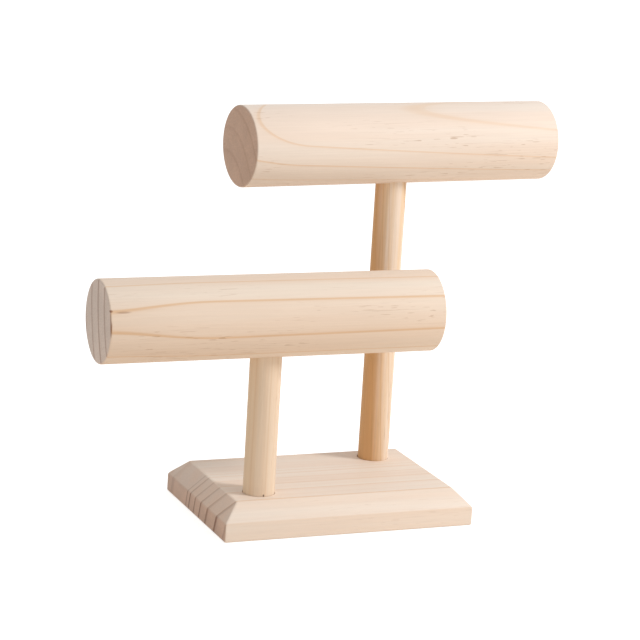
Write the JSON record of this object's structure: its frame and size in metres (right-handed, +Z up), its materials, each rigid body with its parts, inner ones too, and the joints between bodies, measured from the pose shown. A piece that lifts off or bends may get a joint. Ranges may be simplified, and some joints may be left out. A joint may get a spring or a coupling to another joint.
{
  "type": "bracelet display stand",
  "caption": "Bracelet display stand: a chamfered pine board with round posts at opposite corners, each holding a round bar, one low in front and one high behind.",
  "frame": {"origin": "middle of the board's underside, on the surface that the stand rests on", "axes": "+X along the board and the lower bar, towards the end where the upper bar's post stands; +Y from the lower bar to the upper bar, which is the back; +Z up"},
  "size_m": [0.3136, 0.1147, 0.251],
  "materials": {
    "board_pine": "sanded, unfinished",
    "lower_post_pine": "sanded, unfinished",
    "upper_post_pine": "sanded, unfinished",
    "lower_bar_pine": "sanded, unfinished",
    "upper_bar_pine": "sanded, unfinished",
    "screw_steel": "zinc plated"
  },
  "bodies": {
    "root": {"base_board": "board_pine", "lower_post": "lower_post_pine", "upper_post": "upper_post_pine", "lower_bar": "lower_bar_pine", "upper_bar": "upper_bar_pine", "post_screws": "screw_steel"}
  },
  "joints": []
}
